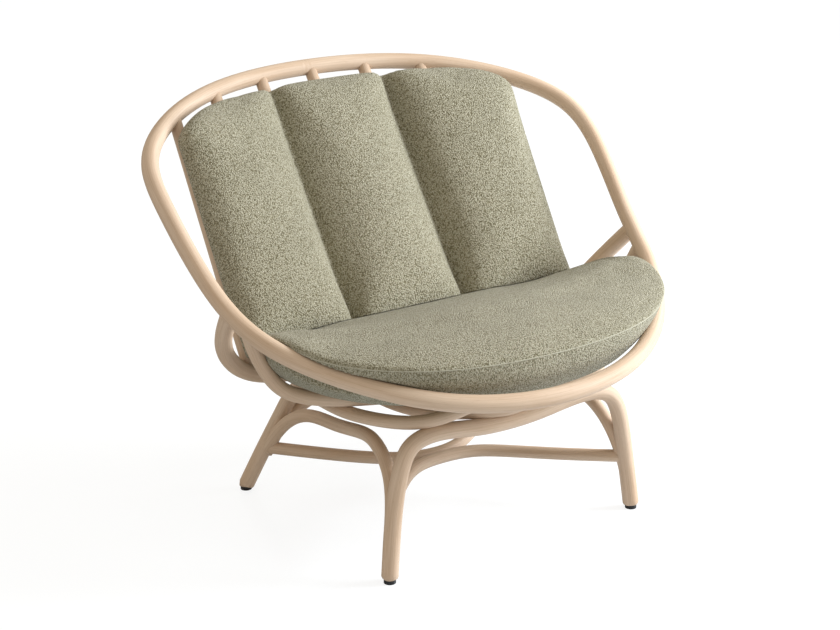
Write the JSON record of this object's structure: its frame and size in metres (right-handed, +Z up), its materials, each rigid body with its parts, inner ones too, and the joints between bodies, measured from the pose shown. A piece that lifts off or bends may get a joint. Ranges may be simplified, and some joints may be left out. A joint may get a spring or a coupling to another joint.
{
  "type": "easy chair",
  "caption": "Low rattan easy chair: a tilted hoop with back spindles on bent leg arches and rings, with a boxed seat cushion and a channelled back cushion.",
  "frame": {"origin": "on the floor under the middle of the hoop's width and depth", "axes": "front faces -Y, +Z is up, +X is to the right of someone who looks at the back from the front, and X = 0 is the mirror plane of the frame"},
  "size_m": [0.9886, 0.8853, 0.7726],
  "materials": {
    "peeled_rattan": "satin",
    "dowel_wood": "matte",
    "screw_steel": "satin",
    "glide_rubber": "matte",
    "cover_fabric": "matte",
    "filling": "matte"
  },
  "bodies": {
    "root": {"hoop": "peeled_rattan", "front_sling": "peeled_rattan", "rear_sling": "peeled_rattan", "front_leg_arch": "peeled_rattan", "rear_leg_arch": "peeled_rattan", "left_side_arch": "peeled_rattan", "right_side_arch": "peeled_rattan", "rear_brace": "peeled_rattan", "outer_ring": "peeled_rattan", "inner_ring": "peeled_rattan", "front_stretcher": "peeled_rattan", "rear_stretcher": "peeled_rattan", "spindle_far_left": "peeled_rattan", "spindle_left": "peeled_rattan", "spindle_mid_left": "peeled_rattan", "spindle_centre": "peeled_rattan", "spindle_mid_right": "peeled_rattan", "spindle_right": "peeled_rattan", "spindle_far_right": "peeled_rattan", "seat_rod_far_left": "peeled_rattan", "seat_rod_left": "peeled_rattan", "seat_rod_centre": "peeled_rattan", "seat_rod_right": "peeled_rattan", "seat_rod_far_right": "peeled_rattan", "floor_glides": "glide_rubber", "ring_screws": "screw_steel", "sling_screws": "screw_steel", "stretcher_screw": "screw_steel", "hoop_dowels": "dowel_wood", "stretcher_dowels": "dowel_wood", "brace_dowels": "dowel_wood", "seat_cover": "cover_fabric", "back_cover": "cover_fabric", "seat_core": "filling", "left_back_filling": "filling", "middle_back_filling": "filling", "right_back_filling": "filling"}
  },
  "joints": []
}
